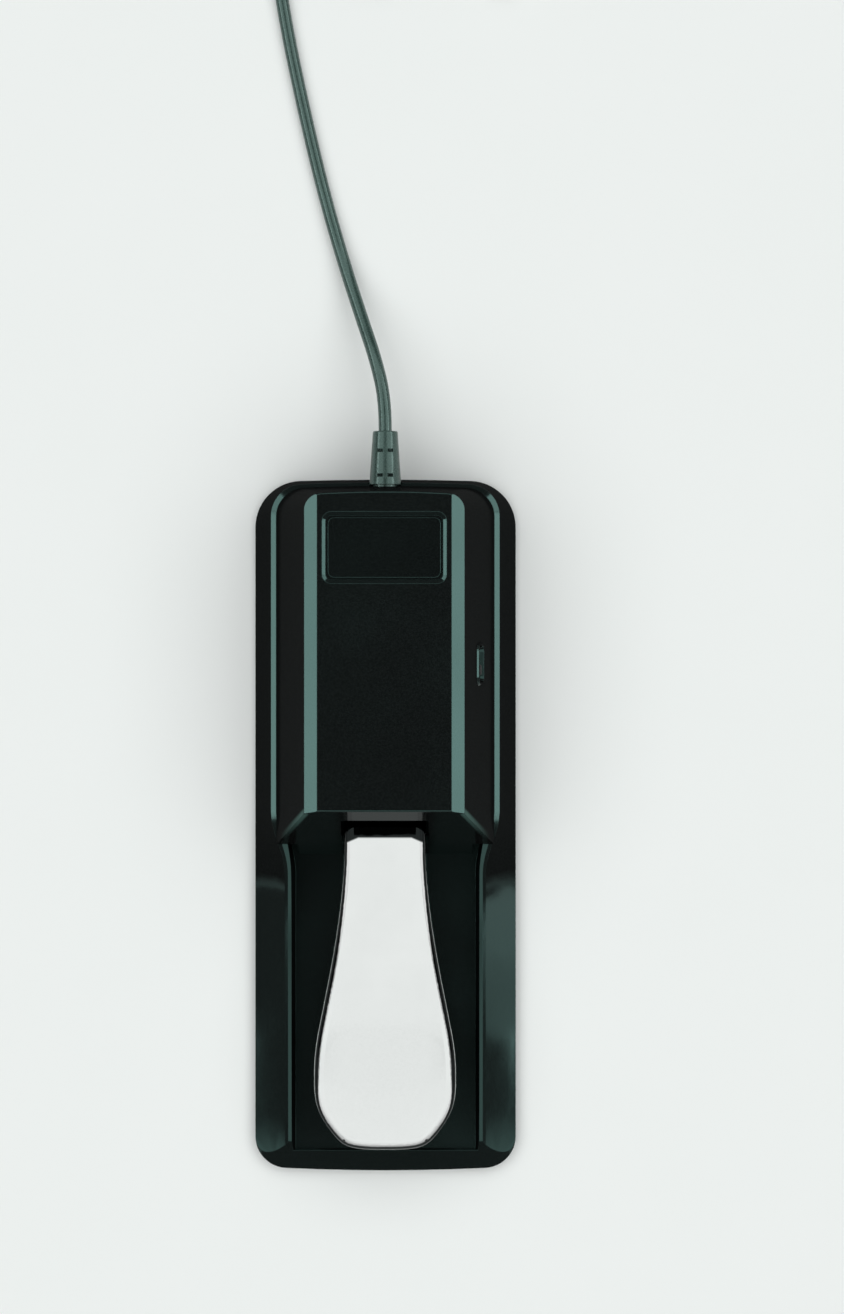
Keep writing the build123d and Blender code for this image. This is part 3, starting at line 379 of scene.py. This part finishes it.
def painted_corner_highlight(skin):
    """How strong the painted highlight is along the cover's two front corners, fading on the way
    down.
    """
    run = (CORNER_FOOT[0] - CORNER_TOP[0], CORNER_FOOT[1] - CORNER_TOP[1])
    across = (-run[1] / math.hypot(*run), run[0] / math.hypot(*run))
    offset = across[0] * CORNER_TOP[0] + across[1] * CORNER_TOP[1]
    place = skin.parts(skin.place)
    outward = skin.calc("MULTIPLY", skin.calc("ABSOLUTE", place["X"]), across[0])
    level = skin.calc("ADD", outward, skin.calc("MULTIPLY", place["Y"], across[1]))
    away = skin.calc("ABSOLUTE", skin.calc("SUBTRACT", level, offset))
    line = skin.span(away, HIGHLIGHT_EDGE, FALLING)
    fade = skin.span(place["Z"], HIGHLIGHT_FADE, RISING)
    below_roof = skin.span(place["Z"], HIGHLIGHT_END, FALLING)
    return skin.calc("MULTIPLY", line, skin.calc("MULTIPLY", fade, below_roof))


def calm_walls(skin):
    """Steep walls mirror less where they are seen edge on, the side and rear walls least of all."""
    dull = skin.add("ShaderNodeBsdfPrincipled")
    for key in ("Base Color", "Normal"):
        skin.link(skin.shader.inputs[key].links[0].from_socket, dull.inputs[key])
    dull.inputs["Roughness"].default_value = CALM_ROUGHNESS
    dull.inputs["Specular IOR Level"].default_value = 0.0
    normal = skin.parts(skin.add("ShaderNodeNewGeometry").outputs["Normal"])
    sideways = skin.span(skin.calc("ABSOLUTE", normal["X"]), FACES_SIDE, RISING)
    rearward = skin.span(normal["Y"], FACES_REAR, RISING)
    frontward = skin.span(normal["Y"], FACES_FRONT, FRONT_CALM)
    strength = skin.calc("MAXIMUM", skin.calc("MAXIMUM", sideways, rearward), frontward)
    wall = skin.calc("MULTIPLY", skin.span(normal["Z"], LEVEL, FALLING), strength)
    facing = skin.add("ShaderNodeLayerWeight", {"Blend": 0.5}).outputs["Facing"]
    edge_on = skin.span(facing, EDGE_ON, (0.0, MOST_CALM))
    calm = skin.calc("MULTIPLY", wall, edge_on)
    shaders = {1: skin.shader.outputs[0], 2: dull.outputs[0]}
    mix = skin.add("ShaderNodeMixShader", {0: calm, **shaders})
    skin.link(mix.outputs[0], skin.tree.nodes["Material Output"].inputs["Surface"])


# Chrome lever ------------------------------------------------------------------------------------
CHROME = (0.55, 0.558, 0.555)
CHROME_DULLER = (0.5, 0.508, 0.505)
CHROME_BRIGHTER = (0.558, 0.566, 0.563)
PAINTED_SHADE = (0.012, 0.014, 0.014)
CHROME_GLOSS = (0.03, 0.07)
# Where the painted shade line lies on the rolled edge, by how level the metal is there
LINE_START = (0.4, 0.46)
LINE_END = (0.71, 0.79)
# Where the line gets wider behind the foot, along the lever, and by how much
WIDE_REAR = (-45 * MM, -20 * MM)
WIDE_FRONT = (-98 * MM, -84 * MM)
WIDENING = 0.13
NOSE = (-102 * MM, -90 * MM)
NOSE_TILT = (0.62, 0.985)
# Painted shade on the end of the neck under the cover, which reaches further forward at its corners
NECK_END = (-3.5 * MM, -2.9 * MM)
NECK_CORNER = (9 * MM, 13.2 * MM)
CORNER_REACH = 1.8 * MM


def chrome(name):
    """Bright mirror plating, with painted shade near black on the rolled edge, the nose and the
    neck's end.
    """
    skin = Skin(name, CHROME, roughness=0.03, metallic=1.0)
    smears = skin.noise(14 * MM)
    swirl = skin.noise(0.8 * MM, detail=4.0)
    skin.roughness(skin.span(skin.calc("ADD", swirl, smears), PAIR_SPREAD, CHROME_GLOSS))
    tilt = skin.parts(skin.normal)["Z"]
    place = skin.parts(skin.place)
    narrowing = skin.span(place["Y"], WIDE_REAR, (WIDENING, 0.0))
    wide = skin.calc("MULTIPLY", narrowing, skin.span(place["Y"], WIDE_FRONT, RISING))
    line_end = skin.span(skin.calc("SUBTRACT", tilt, wide), LINE_END, FALLING)
    line = skin.calc("MULTIPLY", line_end, skin.span(tilt, LINE_START, RISING))
    at_nose = skin.span(place["Y"], NOSE, FALLING)
    nose = skin.calc("MULTIPLY", skin.span(tilt, NOSE_TILT, FALLING), at_nose)
    corner = skin.span(skin.calc("ABSOLUTE", place["X"]), NECK_CORNER, (0.0, CORNER_REACH))
    neck = skin.span(skin.calc("ADD", place["Y"], corner), NECK_END, RISING)
    # Painted shade: the dark line on the rolled edge, the dark nose and the neck's end under the
    # cover
    painted_dark = skin.calc("MAXIMUM", skin.calc("MAXIMUM", line, nose), neck)
    skin.colours(painted_dark, skin.blend(smears, CHROME_DULLER, CHROME_BRIGHTER), PAINTED_SHADE)
    skin.relief(swirl, depth=0.0005 * MM)
    return skin.material


# Other materials ---------------------------------------------------------------------------------
RUBBER_BLACK = (0.014, 0.014, 0.014)
RUBBER_CLEAN = (0.01, 0.01, 0.01)
RUBBER_DUSTY = (0.035, 0.034, 0.032)
THREAD_BLACK = (0.01, 0.01, 0.01)
THREAD_SHADOW = (0.006, 0.006, 0.006)
THREAD_FLUFF = (0.045, 0.045, 0.045)
THREAD_PITCH = 0.9 * MM
ROW_PITCH = 0.7 * MM
HANDLE_BLACK = (0.012, 0.012, 0.013)
HANDLE_CLEAN = (0.009, 0.009, 0.01)
HANDLE_WORN = (0.02, 0.02, 0.021)
RING_PITCH = 1.9 * MM
CORD_GREEN = (0.02, 0.036, 0.03)
CORD_DARKER = (0.014, 0.03, 0.025)
CORD_LIGHTER = (0.022, 0.043, 0.036)
CORD_SHINE = (0.7, 1.0, 0.93)
LEAD_RED = (0.36, 0.02, 0.015)
LEAD_RED_DEEP = (0.3, 0.02, 0.015)
LEAD_BLACK = (0.012, 0.012, 0.013)
# Where the wires turn black, along the pedal
LEAD_CHANGE = (62 * MM, 63 * MM)


def metal(name, colour, low, high):
    """Metal with a fine grain and patches that are more and less polished."""
    skin = Skin(name, colour, roughness=low, metallic=1.0)
    lines = skin.noise(0.8 * MM, detail=4.0)
    cloud = skin.noise(14 * MM)
    skin.roughness(skin.span(skin.calc("ADD", lines, cloud), PAIR_SPREAD, (low, high)))
    skin.colours(cloud, shade(colour, 0.86), colour)
    skin.relief(lines, depth=0.01 * MM)
    return skin.material


def matte(name, colour):
    """Moulded plastic with a fine spark-eroded grain."""
    skin = Skin(name, colour, roughness=0.4, specular=0.4)
    fine = skin.noise(0.35 * MM)
    cloud = skin.noise(9 * MM)
    skin.roughness(skin.span(fine, NOISE_SPREAD, (0.4, 0.6)))
    skin.colours(skin.span(cloud, NOISE_SPREAD, RISING), shade(colour, 0.8), shade(colour, 1.15))
    skin.relief(fine, depth=0.02 * MM, edge=0.15 * MM)
    return skin.material


def rubber(name):
    """Black rubber with a pebbled skin and chalky dust in it."""
    skin = Skin(name, RUBBER_BLACK, roughness=0.75, specular=0.3)
    pebble = skin.cells(0.9 * MM)
    dust = skin.noise(6 * MM, detail=5.0)
    skin.roughness(skin.span(dust, NOISE_SPREAD, (0.62, 0.88)))
    skin.colours(skin.span(dust, (0.4, 0.8), RISING), RUBBER_CLEAN, RUBBER_DUSTY)
    skin.relief(pebble, depth=0.12 * MM, edge=0.3 * MM)
    return skin.material


def woven(name):
    """Black webbing of crossing threads with paler fluff on it."""
    skin = Skin(name, THREAD_BLACK, roughness=0.9, specular=0.2)
    across = skin.calc("MAXIMUM", skin.bands(THREAD_PITCH, "X"), skin.bands(THREAD_PITCH, "Z"))
    threads = skin.calc("MULTIPLY", skin.bands(ROW_PITCH, "Y"), across)
    fluff = skin.noise(0.5 * MM, detail=5.0)
    skin.roughness(skin.span(fluff, NOISE_SPREAD, (0.8, 0.98)))
    paleness = skin.span(skin.calc("ADD", threads, fluff), (0.4, 1.5), RISING)
    skin.colours(paleness, THREAD_SHADOW, THREAD_FLUFF)
    skin.relief(threads, depth=0.15 * MM, edge=0.2 * MM)
    return skin.material


def grip(name):
    """Black moulded handle with shallow rings for the fingers."""
    skin = Skin(name, HANDLE_BLACK, roughness=0.35)
    rings = skin.bands(RING_PITCH, "Y")
    wear = skin.noise(2.5 * MM, detail=4.0)
    skin.roughness(skin.span(skin.calc("ADD", rings, wear), (0.4, 1.5), (0.5, 0.26)))
    skin.colours(skin.span(wear, (0.35, 0.7), RISING), HANDLE_CLEAN, HANDLE_WORN)
    skin.relief(rings, depth=0.22 * MM, edge=0.2 * MM)
    return skin.material


def jacket(name):
    """Dark grey-green vinyl, glossy over a fine drag grain."""
    skin = Skin(name, CORD_GREEN, roughness=0.26, specular=0.95, tint=CORD_SHINE)
    fine = skin.noise(0.4 * MM, detail=4.0, stretch=(1.0, 0.4, 1.0))
    cloud = skin.span(skin.noise(8 * MM), NOISE_SPREAD, RISING)
    skin.roughness(skin.span(fine, NOISE_SPREAD, (0.2, 0.32)))
    skin.colours(cloud, CORD_DARKER, CORD_LIGHTER)
    skin.relief(fine, depth=0.012 * MM, edge=0.15 * MM)
    return skin.material


def leads(name):
    """Thin insulated wires, red to the foot switch and black to the cord."""
    skin = Skin(name, LEAD_RED_DEEP, roughness=0.4)
    fine = skin.noise(0.3 * MM)
    skin.roughness(skin.span(fine, NOISE_SPREAD, (0.35, 0.5)))
    behind = skin.span(skin.parts(skin.place)["Y"], LEAD_CHANGE, RISING)
    skin.colours(behind, LEAD_RED, LEAD_BLACK)
    skin.relief(fine, depth=0.01 * MM, edge=0.1 * MM)
    return skin.material


# What makes each slot's material, its colour, and how smooth and how rough its finish goes
MAKERS = {
    "housing_plastic": (housing_plastic,),
    "badge": (housing_plastic, BADGE_BLACK),
    "zinc_steel": (metal, (0.56, 0.57, 0.55), 0.28, 0.5),
    "rubber": (rubber,),
    "spring_steel": (metal, (0.42, 0.42, 0.43), 0.22, 0.4),
    "chrome": (chrome,),
    "nylon": (matte, (0.78, 0.76, 0.7)),
    "brass": (metal, (0.72, 0.52, 0.24), 0.2, 0.38),
    "switch_case": (matte, (0.012, 0.012, 0.014)),
    "plunger_red": (matte, (0.42, 0.02, 0.015)),
    "tinned_metal": (metal, (0.66, 0.65, 0.62), 0.25, 0.45),
    "board": (matte, (0.2, 0.11, 0.035)),
    "slider_black": (matte, (0.01, 0.01, 0.01)),
    "lead_jacket": (leads,),
    "cord_jacket": (jacket,),
    "tie": (woven,),
    "plug_plastic": (grip,),
    "plug_metal": (metal, (0.8, 0.78, 0.72), 0.12, 0.24),
    "insulator": (matte, (0.012, 0.012, 0.012)),
}

skins = {slot: maker(slot, *look) for slot, (maker, *look) in MAKERS.items()}
for node, thing in NODES.items():
    thing.data.materials.clear()
    thing.data.materials.append(skins[SLOT_OF[node]])
cord.data.materials.append(skins["cord_jacket"])
spring.data.materials.append(skins["spring_steel"])

# Floor, backdrop and lights ----------------------------------------------------------------------
FLOOR_HALF = 6.0
FLOOR_PALE = (0.88, 0.88, 0.88)
FLOOR_DARKER = (0.87, 0.89, 0.88)
FLOOR_LIGHTER = (0.89, 0.905, 0.9)
# Sky: a bright ring over a dim room, a dark patch overhead, and the flat backdrop the camera sees
SKY = (0.98, 1.0, 0.99)
CEILING_EDGE = (0.59, 0.67)
RING_RADIANCE = 1.5
ROOM = 0.12
PATCH_TILT = math.radians(6.0)
PATCH_EDGE = (math.radians(15.5), math.radians(13.0))
PATCH_LEVEL = 0.03
BACKDROP = 0.72
# Lamps: name, place, the point it is turned towards, width and height, and brightness
SIDE_LAMPS = [
    ("left_side", (-1.3, 0.075, 0.75), (0.0, 0.075, 0.04), (0.49, 0.3), 4.8),
    ("right_side", (1.3, 0.06, 0.75), (0.0, 0.06, 0.04), (0.52, 0.3), 4.8),
    ("right_low", (1.3, -0.02, 0.45), (0.0, 0.0, 0.03), (0.46, 0.26), 0.55),
    ("right_low_wide", (1.31, 0.02, 0.45), (0.0, 0.0, 0.03), (0.68, 0.26), 0.55),
    ("right_lower", (1.3, -0.02, 0.17), (0.0, 0.0, 0.03), (0.46, 0.3), 0.7),
    ("right_lower_wide", (1.31, 0.02, 0.17), (0.0, 0.0, 0.03), (0.68, 0.3), 0.7),
    ("left_rear", (-1.15, 0.7, 0.75), (0.0, 0.1, 0.04), (0.8, 0.3), 3.8),
    ("right_rear", (1.15, 0.7, 0.75), (0.0, 0.1, 0.04), (0.8, 0.3), 3.8),
]
FLOOR_WASH = ("floor_wash", (0.0, 0.1, 3.0), (0.0, 0.1, 0.0), (3.0, 3.0), 0.45)
# Panels round the pedal that only the chrome mirrors
PANELS = 6
PANEL_AWAY = 3.0
PANEL_HEIGHT = 1.3
PANEL_AIM = (0.0, 0.0, 0.3)
PANEL_SIZE = (3.3, 2.0)
PANEL_RADIANCE = 1.2


def make_floor():
    """Plain pale studio floor."""
    half = FLOOR_HALF
    corners = [(-half, -half, 0), (half, -half, 0), (half, half, 0), (-half, half, 0)]
    mesh = bpy.data.meshes.new("floor")
    mesh.from_pydata(corners, [], [(0, 1, 2, 3)])
    floor = add_object("floor", mesh)
    skin = Skin("floor_paper", FLOOR_PALE, roughness=0.9, specular=0.1)
    skin.colours(skin.noise(60 * MM), FLOOR_DARKER, FLOOR_LIGHTER)
    mesh.materials.append(skin.material)
    return floor


def make_world():
    """Dim room under a bright ceiling with a dark patch overhead, against a pale backdrop."""
    world = bpy.data.worlds.new("studio")
    world.use_nodes = True
    sky = Nodes(world.node_tree)
    toward = sky.add("ShaderNodeTexCoord").outputs["Generated"]
    height = sky.parts(toward)["Z"]
    ceiling = sky.span(height, CEILING_EDGE, (ROOM, RING_RADIANCE), "SMOOTHSTEP")
    overhead = (0.0, math.sin(PATCH_TILT), math.cos(PATCH_TILT))
    nearness = sky.add("ShaderNodeVectorMath", {0: toward, 1: overhead}, operation="DOT_PRODUCT")
    edge = [math.cos(angle) for angle in PATCH_EDGE]
    patch = sky.span(nearness.outputs["Value"], edge, (1.0, PATCH_LEVEL), "SMOOTHSTEP")
    level = sky.calc("MULTIPLY", ceiling, patch)
    seen = sky.add("ShaderNodeLightPath").outputs["Is Camera Ray"]
    pick = sky.add("ShaderNodeMix", {"Factor": seen, "A": level, "B": BACKDROP})
    back = sky.tree.nodes["Background"]
    back.inputs["Color"].default_value = (*SKY, 1.0)
    sky.link(pick.outputs["Result"], back.inputs["Strength"])
    bpy.context.scene.world = world


def softbox(name, place, aim, size, radiance):
    """Rectangular soft light at a place, turned towards a point, with this brightness."""
    light = bpy.data.lights.new(name, "AREA")
    light.shape = "RECTANGLE"
    light.size, light.size_y = size
    light.energy = radiance * math.pi * size[0] * size[1]
    lamp = add_object(name, light)
    lamp.location = place
    away = Vector(place) - Vector(aim)
    lamp.rotation_euler = away.to_track_quat("Z", "Y").to_euler()
    lamp.visible_camera = False
    return lamp


def chrome_panels():
    """Ring of tall soft panels that the chrome mirrors when it is seen from the side."""
    panels = []
    for index in range(PANELS):
        angle = 2 * math.pi * (index + 0.5) / PANELS
        place = (PANEL_AWAY * math.cos(angle), PANEL_AWAY * math.sin(angle), PANEL_HEIGHT)
        panels.append(softbox(f"panel_{index}", place, PANEL_AIM, PANEL_SIZE, PANEL_RADIANCE))
    return panels


def link_lamps(lamps, name, things, state):
    """These lamps light only these things (INCLUDE), or everything but them (EXCLUDE)."""
    group = bpy.data.collections.new(name)
    for thing in things:
        group.objects.link(thing)
    for holder in group.collection_objects:
        holder.light_linking.link_state = state
    for lamp in lamps:
        lamp.light_linking.receiver_collection = group


floor = make_floor()
make_world()
lever = NODES["pedal_lever"]
link_lamps([softbox(*lamp) for lamp in SIDE_LAMPS], "kept_off", [lever, floor], "EXCLUDE")
link_lamps(chrome_panels(), "chrome_only", [lever], "INCLUDE")
link_lamps([softbox(*FLOOR_WASH)], "floor_only", [floor], "INCLUDE")
